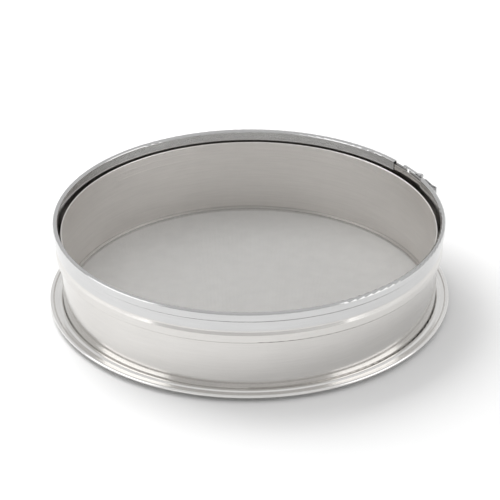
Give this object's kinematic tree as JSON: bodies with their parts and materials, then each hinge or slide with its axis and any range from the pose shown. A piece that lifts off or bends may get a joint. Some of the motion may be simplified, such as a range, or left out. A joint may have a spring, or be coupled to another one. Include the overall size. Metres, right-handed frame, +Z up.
{
  "type": "soil sieve",
  "caption": "Round flanged sheet-steel drum sieve with a lift-out fine woven mesh screen and a lever-latched closing band round its rim.",
  "frame": {"origin": "middle of the base, on the plane the sieve stands on", "axes": "+Z up along the drum's axis; the lever latch is 31 degrees from +X towards +Y"},
  "size_m": [0.3098, 0.3098, 0.0715],
  "materials": {
    "satin_sheet": "satin stainless sheet",
    "polished_sheet": "polished stainless sheet",
    "woven_wire": "woven stainless wire cloth",
    "latch_steel": "bright pressed steel",
    "wire_steel": "drawn wire"
  },
  "bodies": {
    "drum": {"drum_wall": "satin_sheet", "base_flange": "polished_sheet", "base_wire": "wire_steel", "seat_ring": "satin_sheet"},
    "screen": {"screen_hoop": "satin_sheet", "mesh_screen": "woven_wire", "mesh_binding_ring": "satin_sheet"},
    "band": {"closing_band": "polished_sheet", "rim_wire": "wire_steel", "lever_bracket": "latch_steel", "lever_bracket_rivets": "latch_steel", "catch_plate": "latch_steel", "catch_plate_rivets": "latch_steel", "lever_pin": "latch_steel"},
    "lever": {"latch_lever": "latch_steel", "bail_pin": "latch_steel"},
    "bail": {"wire_bail": "wire_steel"}
  },
  "joints": [
    {"name": "screen_lift", "type": "slide", "parent": "drum", "child": "screen", "axis": [0, 0, 1], "range_m": [0, 0.075]},
    {"name": "band_lift", "type": "slide", "parent": "drum", "child": "band", "axis": [0, 0, 1], "range_m": [0, 0.03]},
    {"name": "lever_swing", "type": "hinge", "parent": "band", "child": "lever", "pos_m": [0.13398, 0.07175, 0.064], "axis": [0, 0, 1], "range_deg": [0, 150]},
    {"name": "bail_swing", "type": "hinge", "parent": "lever", "child": "bail", "pos_m": [0.13623, 0.06619, 0.064], "axis": [0, 0, 1], "range_deg": [-150, 0]}
  ],
  "couplings": [
    {"joint": "bail_swing", "follows": "lever_swing", "ratio": -1}
  ]
}
